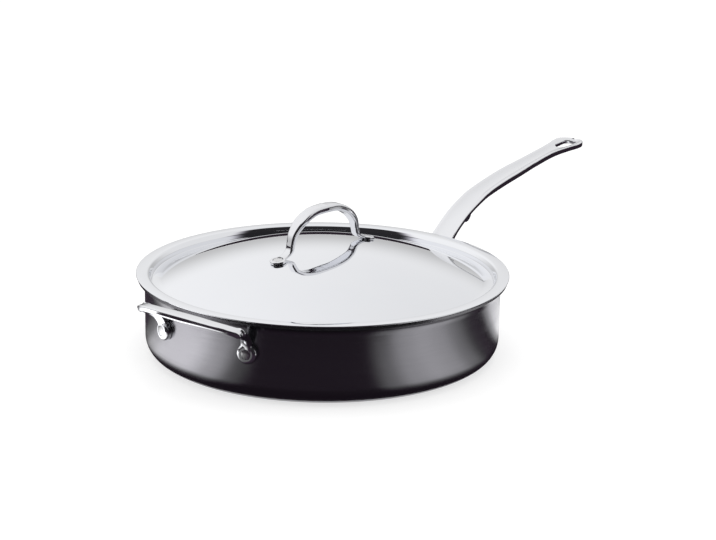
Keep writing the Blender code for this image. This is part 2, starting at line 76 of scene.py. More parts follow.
# Lid
LID_THICKNESS = 0.001
LID_OVERHANG = 0.00125
LID_FLANGE_WIDTH = 0.0103
LID_SLOPE_WIDTH = 0.0025
LID_SLOPE_DEPTH = 0.0037
LID_WALL_DRAFT = 0.0005
LID_WALL_DEPTH = 0.0039
LID_CHANNEL_WIDTH = 0.0055
LID_DOME_RISE = 0.029
LID_CREST_RADIUS = 0.002
LID_BEND_RADIUS = 0.0006
LID_TURN = math.radians(-3.5)

# Rivets
RIVET_HEAD_RADIUS = 0.0042
RIVET_HEAD_THICKNESS = 0.0012
RIVET_DOME = 0.0003
RIVET_SHANK_RADIUS = 0.003
RIVET_INNER_RADIUS = 0.0044
RIVET_INNER_THICKNESS = 0.0005
RIVET_CROWN_SHARE = 0.93
RIVET_INNER_FACE_SHARE = 0.94
RIVET_INNER_BEVEL_SHARE = 0.4

# Long handle
HANDLE_LENGTH = 0.2385
HANDLE_RISE = 0.0775
HANDLE_WIDTH = 0.022
HANDLE_TIP_WIDTH = 0.030
HANDLE_EDGE = 0.0051
HANDLE_GROOVE = 0.0022
HANDLE_RAIL = 0.0028
HANDLE_RIVET_HEIGHT = 0.0455
HANDLE_RIVET_SPACING = 0.040
SADDLE_LUG_RADIUS = 0.0105
SADDLE_THICKNESS = 0.0046
HANG_HOLE_LENGTH = 0.026
HANG_HOLE_WIDTH = 0.0138
HANG_HOLE_MARGIN = 0.0048
STOP_LUG_REACH = 0.0452
STOP_LUG_RADIUS = 0.0082
STOP_LUG_WIDTH_SHARE = 0.3
HANDLE_CORNER = 0.0004
HANDLE_CORNER_LIMIT = 0.2
HANDLE_RAIL_LIMIT = 0.5
HANDLE_GROOVE_LIMIT = 0.15
HANDLE_GROOVE_RUNOUT = 0.88
HANDLE_UNDERSIDE_CROWN = 0.35
HANDLE_TIP_EDGE = 0.92
HANDLE_TIP_RISE = 0.993
HANDLE_TIP_LAST_RISE = 0.007

# Helper handle
HELPER_RIVET_HEIGHT = 0.0423
HELPER_RIVET_SPACING = 0.090
HELPER_LUG_RADIUS = 0.0086
HELPER_LUG_THICKNESS = 0.0061
HELPER_LUG_DISH = 0.0009
HELPER_LUG_EDGE_ROUND = 0.0028
HELPER_LUG_ROOT_SHARE = 0.97
HELPER_NECK_SEAT_SHARE = 0.42
HELPER_REACH = 0.0190
HELPER_HALF_SPAN = 0.0528
HELPER_BAR_HEIGHT = 0.0678
HELPER_BAR_WIDTH = 0.0105
HELPER_BAR_THICKNESS = 0.0058
HELPER_NECK_WIDTH = 0.0098
HELPER_NECK_THICKNESS = 0.0048
HELPER_SECTION_POWER = 0.38

# Lid handle
LID_HANDLE_RISE = 0.0332
LID_HANDLE_SPAN = 0.081
LID_HANDLE_TOP_WIDTH = 0.0130
LID_HANDLE_LEG_WIDTH = 0.0078
LID_HANDLE_THICKNESS = 0.0068
LID_HANDLE_LEG_THICKNESS = 0.0040
LID_HANDLE_SECTION_POWER = 0.5
LID_FOOT_RADIUS = 0.0070
LID_FOOT_THICKNESS = 0.0024
LID_FOOT_OFFSET = 0.0140
LID_FOOT_BEVEL_SHARE = 0.4

# How far the forms that cut or trim a piece reach along their own axis
RIVET_HOLE_REACH = (0.1, 0.2)
LID_HOLE_REACH = (-0.01, 0.01)
RECESS_REACH = 0.01
WALL_FORM_REACH = (-0.1, 0.2)
SADDLE_TRIM_REACH = (0, 0.1)
SADDLE_BLOCK_SHARES = (0.9, 1.05)
HANG_HOLE_REACH = (0.05, 0.2)

# Smoothness: steps round a turned piece, along a path and round a section
TURN_STEPS = 240
TRIM_STEPS = TURN_STEPS * 2
RIVET_STEPS = 64
SPAN_STEPS = 8
SECTION_STEPS = 36
HANDLE_SECTION_STEPS = 8
HANDLE_CORNER_STEPS = 4
HANDLE_TIP_STEPS = 16
HANDLE_TIP_STEP_DEGREES = 5.5
HANDLE_TIP_LEVEL_STEPS = 4

# Smoothness: steps on the arcs of a profile or an outline
BASE_RING_SHARES = (0.45, 0.88)
BASE_CORNER_STEPS = 16
FLARE_STEPS = 12
DOME_STEPS = 48
LID_BEND_STEPS = 8
LID_SLOPE_STEPS = 5
LID_EDGE_STEPS = 6
RIVET_CROWN_STEPS = 8
RIVET_EDGE_STEPS = 5
BOSS_EDGE_STEPS = 8
STADIUM_STEPS = 24
STOP_LUG_STEPS = 32
AXIS_TOLERANCE = 1e-7

# Smoothness: sharp edges, and the skin of the castings
SHARP_ANGLE = math.radians(40)
SKIN_VOXEL = 0.0003
LONG_HANDLE_VOXEL = 0.00045
SKIN_PASSES = 3
SKIN_SOFTENING = 0.5

# Finish: the part of a noise that is used, and a quarter turn for brushing
NOISE_RANGE = (0.3, 0.7)
BRUSH_ROTATION = 0.25

# Camera, found from the photograph's 716 x 540 frame
IMAGE_SIZE = Vector((716, 540))
FOCAL_LENGTH_PX = 2000
AIM_PX = Vector((321.55, 310.05))
AIM_HEIGHT = 0.035
VIEW_DISTANCE = 1.723
VIEW_AZIMUTH = math.radians(50.2)
VIEW_ELEVATION = math.radians(17.3261)
VIEW_ROLL = math.radians(0.9208)
SENSOR_WIDTH = 36

# World: levels as radiance, where 1 is white; the front is the camera's side
WHITE = (1, 1, 1)
WORLD_LEVEL = 0.8
FRONT_LEVEL = 0.025
FRONT_TINT = (1.02, 0.97, 1.06)
FRONT_SPREAD = (0.15, 0.5)
FRONT_TOP = (0.86, 0.97)
SIDE_SPREAD = (-0.6, 0.6)
RIGHT_LEVEL = 0.84
LOW_SKY = (0.0, 0.38)
LOW_LEVEL = 0.6
SMALLEST_DIVISOR = 0.01

# Lamps: azimuths are counted from the camera's side to the right
SOFTBOX_DISTANCE = 1.1
SOFTBOX_HEIGHT = 0.35
SOFTBOX_SIZE = (0.5, 0.6)
LEFT_AZIMUTH = math.radians(-85)
LEFT_LEVEL = 1.6
RIGHT_AZIMUTH = math.radians(80)
RIGHT_LAMP_LEVEL = 1.2
OVERHEAD_HEIGHT = 1.6
OVERHEAD_SIZE = (1.2, 1.2)
OVERHEAD_LEVEL = 0.6
LAMP_TARGET = Vector((0, 0, 0.04))

# Floor, and the glowing card on it that only metal reflects, whose glow paints the light
# and dark bands in the metal: its reach from the middle of the pan and its level go by azimuth in
# degrees
FLOOR_HALF_SIZE = 6.0
FLOOR_COLOUR = (0.6, 0.6, 0.6)
FLOOR_LIFT = 0.6
DARK_TINT = (1.15, 0.8, 1.2)
PALE_TINT = (1.0, 1.0, 1.01)
TINT_RANGE = (0.03, 0.12)
CARD_STEPS = 180
CARD_INNER = 0.145
CARD_OUTER = 5.9
CARD_HEIGHT = 0.0004
# Painted shade: the card's glow fades to dark between these radii next to the pan's foot
PAINTED_CONTACT_SHADE = (0.152, 0.185)
CARD_FADE = (0.93, 1.03)
CARD_LOWEST = 0.02
CARD_REACH = [
    (-180, 0.3), (-140, 0.6), (-100, 0.8), (-80, 0.8), (-74, 0.5), (-69, 0.325), (-30, 0.32),
    (30, 0.32), (45, 0.5), (60, 0.8), (92, 0.8), (108, 0.36), (125, 0.32), (180, 0.3),
]
CARD_PEAK = 2.5
CARD_LEVELS = [
    (-180, 0.3), (-150, 0.2), (-125, 0.05), (-108, 0.05), (-98, 0.3), (-88, 1.1), (-78, 1.75),
    (-60, 1.9), (-46, 1.0), (-36, 0.2), (-27, 0.03), (19, 0.03), (28, 0.35), (37, 0.8),
    (48, 1.0), (59, 0.85), (69, 0.45), (80, 0.08), (93, 0.02), (99, 0.6), (106, 1.35),
    (118, 1.3), (130, 0.8), (145, 0.5), (180, 0.3),
]

# Values worked out from the ones above
BODY_THICKNESS = SHELL_THICKNESS + SEAT_GAP + LINING_THICKNESS
FLARE_ANGLE = math.acos(1 - RIM_FLARE / FLARE_BEND_RADIUS)
FLARE_BASE = RIM_HEIGHT - (FLARE_BEND_RADIUS + BODY_THICKNESS) * math.sin(FLARE_ANGLE)
RIM_RADIUS = WALL_RADIUS + RIM_FLARE
LID_RADIUS = RIM_RADIUS + LID_OVERHANG
LID_TOP = RIM_HEIGHT + SEAT_GAP + LID_THICKNESS
LID_WALL_TOP = LID_TOP - LID_SLOPE_DEPTH
LID_CHANNEL_TOP = LID_WALL_TOP - LID_WALL_DEPTH
LID_CREST_EDGE = LID_RADIUS - LID_FLANGE_WIDTH
LID_WALL_RADIUS = LID_CREST_EDGE - LID_SLOPE_WIDTH
LID_WALL_FOOT_RADIUS = LID_WALL_RADIUS - LID_WALL_DRAFT
DOME_RADIUS = LID_WALL_FOOT_RADIUS - LID_CHANNEL_WIDTH
DOME_CURVE = (DOME_RADIUS ** 2 + LID_DOME_RISE ** 2) / (2 * LID_DOME_RISE)
DOME_TOP = LID_CHANNEL_TOP + LID_DOME_RISE
RIVET_BORE_RADIUS = RIVET_SHANK_RADIUS + SEAT_GAP
SADDLE_FACE = WALL_RADIUS + SEAT_GAP + SADDLE_THICKNESS
HELPER_LUG_FACE = WALL_RADIUS + SEAT_GAP + HELPER_LUG_THICKNESS - HELPER_LUG_DISH
LID_FOOT_FACE = SEAT_GAP + LID_FOOT_THICKNESS


# Materials

class Nodes:
    """Short ways to add nodes to a tree."""

    def __init__(self, tree):
        self.tree = tree

    def node(self, kind, **settings):
        made = self.tree.nodes.new(kind)
        for key, value in settings.items():
            setattr(made, key, value)
        return made

    def link(self, output, socket):
        self.tree.links.new(output, socket)

    def math(self, operation, a, b=0.0):
        made = self.node("ShaderNodeMath", operation=operation)
        for socket, value in zip(made.inputs, (a, b)):
            if isinstance(value, (int, float)):
                socket.default_value = value
            else:
                self.link(value, socket)
        return made.outputs[0]

    def map_range(self, value, from_low, from_high, to_low, to_high):
        made = self.node("ShaderNodeMapRange", interpolation_type="SMOOTHSTEP")
        made.inputs["From Min"].default_value = from_low
        made.inputs["From Max"].default_value = from_high
        made.inputs["To Min"].default_value = to_low
        made.inputs["To Max"].default_value = to_high
        self.link(value, made.inputs["Value"])
        return made.outputs[0]

    def split(self, vector):
        made = self.node("ShaderNodeSeparateXYZ")
        self.link(vector, made.inputs[0])
        return made.outputs

    def distance(self, x, y):
        squares = [self.math("MULTIPLY", side, side) for side in (x, y)]
        return self.math("SQRT", self.math("ADD", *squares))

    def mix_colours(self, factor, first, second):
        made = self.node("ShaderNodeMix", data_type="RGBA")
        made.inputs["A"].default_value = (*first, 1)
        made.inputs["B"].default_value = (*second, 1)
        self.link(factor, made.inputs["Factor"])
        return made.outputs["Result"]


class Metal(Nodes):
    """A Principled metal whose finish comes from noise."""

    def __init__(self, name, colour, roughness):
        self.data = bpy.data.materials.new(name)
        self.data.use_nodes = True
        super().__init__(self.data.node_tree)
        self.shader = self.tree.nodes["Principled BSDF"]
        self.shader.inputs["Metallic"].default_value = 1
        self.shader.inputs["Base Color"].default_value = (*colour, 1)
        self.shader.inputs["Roughness"].default_value = roughness
        self.data.diffuse_color = (*colour, 1)
        self.coordinates = self.node("ShaderNodeTexCoord").outputs["Object"]

    def noise(self, scale, detail=2.0, vector=None, stretch=(1, 1, 1)):
        mapping = self.node("ShaderNodeMapping")
        mapping.inputs["Scale"].default_value = stretch
        self.link(vector or self.coordinates, mapping.inputs["Vector"])
        made = self.node("ShaderNodeTexNoise")
        made.inputs["Scale"].default_value = scale
        made.inputs["Detail"].default_value = detail
        self.link(mapping.outputs[0], made.inputs["Vector"])
        return made.outputs["Fac"]

    def vary_roughness(self, value, low, high):
        self.link(self.map_range(value, *NOISE_RANGE, low, high), self.shader.inputs["Roughness"])

    def blend_colour(self, factor, first, second):
        self.link(self.mix_colours(factor, first, second), self.shader.inputs["Base Color"])

    def polar(self):
        """Object coordinates turned into radius, angle and height about the Z axis."""
        x, y, z = self.split(self.coordinates)
        angle = self.math("ARCTAN2", y, x)
        joined = self.node("ShaderNodeCombineXYZ")
        for value, socket in zip((self.distance(x, y), angle, z), joined.inputs):
            self.link(value, socket)
        return joined.outputs[0]

    def bump(self, height, strength, distance):
        made = self.node("ShaderNodeBump")
        made.inputs["Strength"].default_value = strength
        made.inputs["Distance"].default_value = distance
        self.link(height, made.inputs["Height"])
        self.link(made.outputs[0], self.shader.inputs["Normal"])

    def brush_round(self, anisotropy):
        """Brushing round the Z axis, which draws highlights out across it."""
        tangent = self.node("ShaderNodeTangent", direction_type="RADIAL", axis="Z")
        self.link(tangent.outputs[0], self.shader.inputs["Tangent"])
        self.shader.inputs["Anisotropic"].default_value = anisotropy
        self.shader.inputs["Anisotropic Rotation"].default_value = BRUSH_ROTATION


def mirror_steel():
    steel = Metal("mirror_steel", colour=(0.86, 0.87, 0.90), roughness=0.05)
    smudges = steel.noise(scale=30, detail=3)
    steel.vary_roughness(smudges, low=0.012, high=0.026)
    steel.blend_colour(smudges, (0.85, 0.86, 0.895), (0.87, 0.88, 0.905))
    return steel.data


def cast_steel():
    steel = Metal("cast_steel", colour=(0.82, 0.825, 0.85), roughness=0.08)
    steel.vary_roughness(steel.noise(scale=60, detail=4), low=0.05, high=0.12)
    steel.blend_colour(steel.noise(scale=25), (0.80, 0.805, 0.83), (0.84, 0.845, 0.87))
    steel.bump(steel.noise(scale=140, detail=1), strength=0.15, distance=0.0001)
    return steel.data


def rivet_steel():
    steel = Metal("rivet_steel", colour=(0.7, 0.7, 0.71), roughness=0.2)
    grain = steel.noise(scale=900)
    steel.vary_roughness(grain, low=0.16, high=0.26)
    steel.blend_colour(steel.noise(scale=120), (0.66, 0.66, 0.67), (0.74, 0.74, 0.75))
    steel.bump(grain, strength=0.1, distance=0.00005)
    return steel.data


def satin_steel():
    steel = Metal("satin_steel", colour=(0.7, 0.7, 0.71), roughness=0.3)
    rings = steel.noise(scale=1, detail=3, vector=steel.polar(), stretch=(2600, 1.5, 2600))
    steel.vary_roughness(rings, low=0.24, high=0.36)
    steel.blend_colour(rings, (0.66, 0.66, 0.67), (0.74, 0.74, 0.75))
    steel.bump(rings, strength=0.2, distance=0.00003)
    steel.brush_round(anisotropy=0.6)
    return steel.data


def dark_titanium():
    coat = Metal("dark_titanium", colour=(0.29, 0.285, 0.305), roughness=0.23)
    clouds = coat.noise(scale=14, detail=3)
    coat.blend_colour(clouds, (0.275, 0.27, 0.29), (0.305, 0.30, 0.32))
    rings = coat.noise(scale=1, detail=3, vector=coat.polar(), stretch=(900, 2.0, 900))
    coat.vary_roughness(rings, low=0.2, high=0.26)
    coat.brush_round(anisotropy=0.4)
    return coat.data


# Meshes

def arc(centre, radius, start, end, steps):
    """Points on an arc in a profile plane, angles measured from its first axis."""
    points = []
    for i in range(steps + 1):
        angle = start + (end - start) * i / steps
        points.append((centre[0] + radius * math.cos(angle), centre[1] + radius * math.sin(angle)))
    return points


def smooth_rows(knots, per_span):
    """Rows on a smooth curve through the knots; every column is carried along."""
    first = [2 * a - b for a, b in zip(knots[0], knots[1])]
    last = [2 * a - b for a, b in zip(knots[-1], knots[-2])]
    padded = [first, *knots, last]
    rows = []
    for before, start, end, after in zip(padded, padded[1:], padded[2:], padded[3:]):
        for i in range(per_span):
            t = i / per_span
            rows.append([
                0.5 * (2 * b + (c - a) * t + (2 * a - 5 * b + 4 * c - d) * t ** 2
                       + (3 * b - a - 3 * c + d) * t ** 3)
                for a, b, c, d in zip(before, start, end, after)
            ])
    rows.append(list(knots[-1]))
    return rows


def neighbours(rows, i):
    """The rows before and after one of them; a row at an end is its own neighbour."""
    return rows[max(i - 1, 0)], rows[min(i + 1, len(rows) - 1)]


def new_object(name, data):
    obj = bpy.data.objects.new(name, data)
    bpy.context.scene.collection.objects.link(obj)
    return obj


def mesh_object(name, bm):
    bmesh.ops.recalc_face_normals(bm, faces=bm.faces)
    mesh = bpy.data.meshes.new(name)
    bm.to_mesh(mesh)
    bm.free()
    return new_object(name, mesh)


def turned(name, profile, steps=TURN_STEPS, placement=Matrix.Identity(4)):
    """A solid of revolution; the profile runs from the axis round to the axis."""
    bm = bmesh.new()
    rings = []
    for radius, height in profile:
        if radius < AXIS_TOLERANCE:
            rings.append([bm.verts.new((0, 0, height))])
            continue
        rings.append([
            bm.verts.new((radius * math.cos(a), radius * math.sin(a), height))
            for a in (2 * math.pi * i / steps for i in range(steps))
        ])
    for ring, following in zip(rings, rings[1:]):
        for i in range(steps):
            j = (i + 1) % steps
            corners = [ring[i % len(ring)], ring[j % len(ring)]]
            corners += [following[j % len(following)], following[i % len(following)]]
            bm.faces.new(list(dict.fromkeys(corners)))
    bm.transform(placement)
    return mesh_object(name, bm)


def cylinder(name, radius, low, high, steps=TRIM_STEPS, placement=Matrix.Identity(4)):
    """A plain cylinder between two heights, to cut or trim a piece with."""
    return turned(name, [(0, high), (radius, high), (radius, low), (0, low)], steps, placement)


def boss(name, radius, face, bevel, root, placement):
    """A round boss from its root up to its face, with a rounded edge round the face."""
    edge = arc((radius - bevel, face - bevel), bevel, math.pi / 2, 0, BOSS_EDGE_STEPS)
    return turned(name, [(0, face), *edge, (radius, root), (0, root)], RIVET_STEPS, placement)


def loft(name, sections):
    """Skin a list of closed sections that all have the same number of points."""
    bm = bmesh.new()
    loops = [[bm.verts.new(point) for point in section] for section in sections]
    for loop, following in zip(loops, loops[1:]):
        count = len(loop)
        for i in range(count):
            j = (i + 1) % count
            bm.faces.new((loop[i], loop[j], following[j], following[i]))
    bm.faces.new(list(reversed(loops[0])))
    bm.faces.new(loops[-1])
    return mesh_object(name, bm)


def prism(name, outline, low, high, placement=Matrix.Identity(4)):
    """An outline in XY pushed along Z from one height to another, then placed."""
    bm = bmesh.new()
    face = bm.faces.new([bm.verts.new((x, y, low)) for x, y in outline])
    grown = bmesh.ops.extrude_face_region(bm, geom=[face])
    moved = [item for item in grown["geom"] if isinstance(item, bmesh.types.BMVert)]
    bmesh.ops.translate(bm, verts=moved, vec=(0, 0, high - low))
    bm.transform(placement)
    return mesh_object(name, bm)


def stadium(length, width):
    """A long outline with two round ends."""
    radius = width / 2
    offset = length / 2 - radius
    right = arc((offset, 0), radius, -math.pi / 2, math.pi / 2, STADIUM_STEPS)
    left = arc((-offset, 0), radius, math.pi / 2, 3 * math.pi / 2, STADIUM_STEPS)
    return right + left


def rounded_section(centre, across, up, half_width, half_height, power):
    """A superellipse in the plane of two axes; a lower power has squarer corners."""
    section = []
    for i in range(SECTION_STEPS):
        angle = 2 * math.pi * (i + 0.5) / SECTION_STEPS
        c, s = math.cos(angle), math.sin(angle)
        x = math.copysign(abs(c) ** power, c) * half_width
        y = math.copysign(abs(s) ** power, s) * half_height
        section.append(centre + across * x + up * y)
    return section


def combine(obj, tool, operation):
    """Apply a boolean with a tool object, which is then deleted."""
    modifier = obj.modifiers.new("Combine", "BOOLEAN")
    modifier.operation = operation
    modifier.object = tool
    apply_modifiers(obj)
    bpy.data.objects.remove(tool, do_unlink=True)


def apply_modifiers(obj):
    evaluated = obj.evaluated_get(bpy.context.evaluated_depsgraph_get())
    mesh = bpy.data.meshes.new_from_object(evaluated)
    obj.modifiers.clear()
    obj.data = mesh


def cast_skin(obj, voxel=SKIN_VOXEL):
    """Melt the joined forms of a casting into one skin with soft corners."""
    remesh = obj.modifiers.new("Skin", "REMESH")
    remesh.mode = "VOXEL"
    remesh.voxel_size = voxel
    soften = obj.modifiers.new("Soften", "SMOOTH")
    soften.factor = SKIN_SOFTENING
    soften.iterations = SKIN_PASSES
    apply_modifiers(obj)


def dress(obj, node, body, material):
    """Shade a finished piece, give it its metal and let it stand for its CAD node."""
    mesh = obj.data
    mesh.name = obj.name
    mesh.materials.clear()
    mesh.materials.append(material)
    mesh.shade_smooth()
    mesh.set_sharp_from_angle(angle=SHARP_ANGLE)
    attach(obj, body)
    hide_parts(node)


# Pan and rivets

def radial_placement(azimuth, height):
    """Local Z points outward from the pan's axis at this azimuth and height."""
    turn = Matrix.Rotation(azimuth, 4, "Z") @ Matrix.Rotation(math.pi / 2, 4, "Y")
    return Matrix.Translation((0, 0, height)) @ turn


def pan_line(depth):
    """The pan's profile at a depth below its outer surface, from the axis to the rim."""
    corner = (WALL_RADIUS - BASE_CORNER_RADIUS, BASE_CORNER_RADIUS)
    flare = (WALL_RADIUS + FLARE_BEND_RADIUS, FLARE_BASE)
    line = [(0, depth)] + [(WALL_RADIUS * share, depth) for share in BASE_RING_SHARES]
    line += arc(corner, BASE_CORNER_RADIUS - depth, -math.pi / 2, 0, BASE_CORNER_STEPS)
    line += arc(flare, FLARE_BEND_RADIUS + depth, math.pi, math.pi - FLARE_ANGLE, FLARE_STEPS)
    return line


def make_body(rivet_places):
    """The clad body in its two layers: the shell outside and the lining inside."""
    shell = turned("pan_shell_form", pan_line(SHELL_THICKNESS) + pan_line(0)[::-1])
    lining_back = pan_line(SHELL_THICKNESS + SEAT_GAP)[::-1]
    lining = turned("pan_lining_form", pan_line(BODY_THICKNESS) + lining_back)
    for placement in rivet_places:
        for layer in (shell, lining):
            hole = cylinder("rivet_hole", RIVET_BORE_RADIUS, *RIVET_HOLE_REACH, RIVET_STEPS, placement)
            combine(layer, hole, "DIFFERENCE")
    dress(shell, "pan_shell", "pan", TITANIUM)
    dress(lining, "pan_lining", "pan", SATIN)


def make_rivet(name, body, placement, inner, face):
    """A two-headed rivet along local Z, its outer head slightly domed.

    inner is the height of the inner head's end, and face that of the dome's edge.
    """
    seat = face - RIVET_HEAD_THICKNESS
    crown = RIVET_HEAD_RADIUS * RIVET_CROWN_SHARE
    curve = (crown ** 2 + RIVET_DOME ** 2) / (2 * RIVET_DOME)
    dome = (0, face + RIVET_DOME - curve)
    dome_end = math.pi / 2 - math.asin(crown / curve)
    bevel = RIVET_HEAD_RADIUS - crown
    profile = arc(dome, curve, math.pi / 2, dome_end, RIVET_CROWN_STEPS)
    profile += arc((crown, face - bevel), bevel, math.pi / 2, 0, RIVET_EDGE_STEPS)[1:]
    profile += [
        (RIVET_HEAD_RADIUS, seat),
        (RIVET_SHANK_RADIUS, seat),
        (RIVET_SHANK_RADIUS, inner + RIVET_INNER_THICKNESS),
        (RIVET_INNER_RADIUS, inner + RIVET_INNER_THICKNESS),
        (RIVET_INNER_RADIUS, inner + RIVET_INNER_THICKNESS * RIVET_INNER_BEVEL_SHARE),
        (RIVET_INNER_RADIUS * RIVET_INNER_FACE_SHARE, inner),
        (0, inner),
    ]
    rivet = turned(name + "_form", profile, RIVET_STEPS, placement)
    dress(rivet, name, body, RIVET)


# Lid

def dome_height(radius):
    """The height of the dome's upper surface at a radius."""
    return DOME_TOP - DOME_CURVE + math.sqrt(DOME_CURVE ** 2 - radius ** 2)


def dome_placement(radius, side):
    """Local Z along the dome's normal, at a radius under the lid handle's +X or -X end."""
    tilt = math.asin(radius / DOME_CURVE)
    origin = Vector((side * radius, 0, dome_height(radius)))
    upright = Matrix.Translation(origin) @ Matrix.Rotation(side * tilt, 4, "Y")
    return Matrix.Rotation(LID_TURN, 4, "Z") @ upright


def lid_edge(start, end):
    """Half of the flange's round edge."""
    centre = (LID_RADIUS - LID_THICKNESS / 2, LID_TOP - LID_THICKNESS / 2)
    return arc(centre, LID_THICKNESS / 2, start, end, LID_EDGE_STEPS)


def lid_line():
    """The lid's upper surface, from the centre of the dome to the flange's edge."""
    bend = LID_BEND_RADIUS
    outer_bend = LID_CREST_RADIUS + LID_THICKNESS
    wall = math.atan2(LID_WALL_DEPTH, LID_WALL_DRAFT)
    slope = math.atan2(LID_SLOPE_DEPTH, LID_SLOPE_WIDTH)
    dome_end = math.acos(DOME_RADIUS / DOME_CURVE)
    foot = (LID_WALL_FOOT_RADIUS - bend * math.tan(wall / 2), LID_CHANNEL_TOP + bend)
    turn = bend + LID_THICKNESS
    shift = turn * math.tan((wall - slope) / 2)
    below = (LID_WALL_RADIUS - shift * math.cos(wall), LID_WALL_TOP - shift * math.sin(wall))
    top_bend = (below[0] + turn * math.sin(wall), below[1] - turn * math.cos(wall))
    crest = (LID_CREST_EDGE + outer_bend * math.tan(slope / 2), LID_TOP - outer_bend)
    line = arc((0, DOME_TOP - DOME_CURVE), DOME_CURVE, math.pi / 2, dome_end, DOME_STEPS)
    line += arc(foot, bend, -math.pi / 2, -math.pi / 2 + wall, LID_BEND_STEPS)
    line += arc(top_bend, turn, math.pi / 2 + wall, math.pi / 2 + slope, LID_SLOPE_STEPS)
    line += arc(crest, outer_bend, math.pi / 2 + slope, math.pi / 2, LID_BEND_STEPS)
    line += lid_edge(math.pi / 2, 0)
    return line


def offset_inward(line, distance):
    """The line's parallel on its lower side, point by point."""
    moved = []
    for i, (x, z) in enumerate(line):
        before, after = neighbours(line, i)
        along = Vector((after[0] - before[0], after[1] - before[1])).normalized()
        moved.append((max(x + along.y * distance, 0), z - along.x * distance))
    return moved


def make_lid(foot_places):
    upper = lid_line()
    before_edge = upper[:-(LID_EDGE_STEPS + 1)]
    lower = offset_inward(before_edge, LID_THICKNESS)
    lower_edge = lid_edge(0, -math.pi / 2)[1:]
    lid = turned("lid_shell_form", upper + lower_edge + lower[::-1])
    for placement in foot_places:
        hole = cylinder("lid_hole", RIVET_BORE_RADIUS, *LID_HOLE_REACH, RIVET_STEPS, placement)
        combine(lid, hole, "DIFFERENCE")
    dress(lid, "lid_shell", "lid", MIRROR)


# Handles

def recess(obj, placement, face):
    """Sink the hole for a rivet's head and shank."""
    head = RIVET_HEAD_RADIUS + SEAT_GAP
    seat = face - RIVET_HEAD_THICKNESS
    above = face + RECESS_REACH
    below = seat - RECESS_REACH
    profile = [
        (0, above), (head, above), (head, seat - SEAT_GAP),
        (RIVET_BORE_RADIUS, seat - SEAT_GAP), (RIVET_BORE_RADIUS, below), (0, below),
    ]
    combine(obj, turned("recess", profile, RIVET_STEPS, placement), "DIFFERENCE")


def trim_to_wall(obj):
    """Cut away what reaches into the pan's wall and the clearance in front of it."""
    combine(obj, cylinder("wall_form", WALL_RADIUS + SEAT_GAP, *WALL_FORM_REACH), "DIFFERENCE")


def handle_section(point, normal, half_width, edge, groove):
    """The long handle's section: two rails with a dished channel between them."""
    inner = half_width - min(HANDLE_RAIL, half_width * HANDLE_RAIL_LIMIT)
    soft = min(HANDLE_CORNER, half_width * HANDLE_CORNER_LIMIT)
    steps = HANDLE_SECTION_STEPS
    half = [
        (inner * i / steps, -groove * (1 - HANDLE_GROOVE_RUNOUT * (i / steps) ** 2))
        for i in range(steps + 1)
    ]
    half += arc((half_width - soft, -soft), soft, math.pi / 2, 0, HANDLE_CORNER_STEPS)
    half += arc((half_width - soft, -edge + soft), soft, 0, -math.pi / 2, HANDLE_CORNER_STEPS)
    crown = groove * HANDLE_UNDERSIDE_CROWN
    half += [
        ((half_width - soft) * (1 - i / steps), -edge - crown * (1 - (1 - i / steps) ** 2))
        for i in range(1, steps + 1)
    ]
    mirrored = [(-y, n) for y, n in half[-2:0:-1]]
    return [Vector((point.x + normal.x * n, y, point.z + normal.z * n)) for y, n in half + mirrored]


def handle_rows():
    """Rows of reach from the wall, height of the rails, width and edge depth."""
    root = HANDLE_RIVET_HEIGHT
    tip = HANDLE_LENGTH
    rise = HANDLE_RISE
    width = HANDLE_WIDTH
    edge = HANDLE_EDGE
    knots = [
        (0.003, root + 0.080 * rise, width * 1.42, edge * 2.2),
        (0.010, root + 0.155 * rise, width * 1.18, edge * 1.7),
        (tip * 0.087, root + 0.299 * rise, width * 1.06, edge * 0.80),
        (tip * 0.176, root + 0.498 * rise, width * 1.05, edge * 0.70),
        (tip * 0.274, root + 0.644 * rise, width * 1.05, edge * 0.75),
        (tip * 0.340, root + 0.711 * rise, width, edge * 0.92),
        (tip * 0.440, root + 0.782 * rise, width, edge),
        (tip * 0.539, root + 0.838 * rise, width, edge),
        (tip * 0.639, root + 0.888 * rise, width * 0.90, edge),
        (tip * 0.772, root + 0.948 * rise, width * 0.87, edge),
        (tip * 0.863, root + 0.973 * rise, width * 1.08, edge * 0.95),
        (tip * 0.920, root + 0.987 * rise, HANDLE_TIP_WIDTH * 0.98, edge * HANDLE_TIP_EDGE),
    ]
    rows = smooth_rows(knots, SPAN_STEPS)
    end_radius = HANDLE_TIP_WIDTH / 2
    round_start = tip - end_radius
    for i in range(HANDLE_TIP_STEPS + 1):
        angle = math.radians(HANDLE_TIP_STEP_DEGREES * i)
        level = HANDLE_TIP_RISE + HANDLE_TIP_LAST_RISE * min(i / HANDLE_TIP_LEVEL_STEPS, 1)
        rows.append([
            round_start + end_radius * math.sin(angle), root + rise * level,
            HANDLE_TIP_WIDTH * math.cos(angle), edge * HANDLE_TIP_EDGE,
        ])
    return rows


def stop_lug(rows):
    """The small rounded lug under the elbow, a half disc that grows from the strap."""
    near = min(range(len(rows)), key=lambda i: abs(rows[i][0] - STOP_LUG_REACH))
    before, after = neighbours(rows, near)
    reach, height, _, edge = rows[near]
    slope = math.atan2(after[1] - before[1], after[0] - before[0])
    depth = (edge + HANDLE_GROOVE * (1 + HANDLE_UNDERSIDE_CROWN)) / 2
    height += (STOP_LUG_REACH - reach) * math.tan(slope)
    centre = (WALL_RADIUS + STOP_LUG_REACH + depth * math.sin(slope), height - depth * math.cos(slope))
    outline = arc(centre, STOP_LUG_RADIUS, slope - math.pi, slope, STOP_LUG_STEPS)
    half = HANDLE_WIDTH * STOP_LUG_WIDTH_SHARE
    return prism("stop_lug", outline, -half, half, Matrix.Rotation(math.pi / 2, 4, "X"))


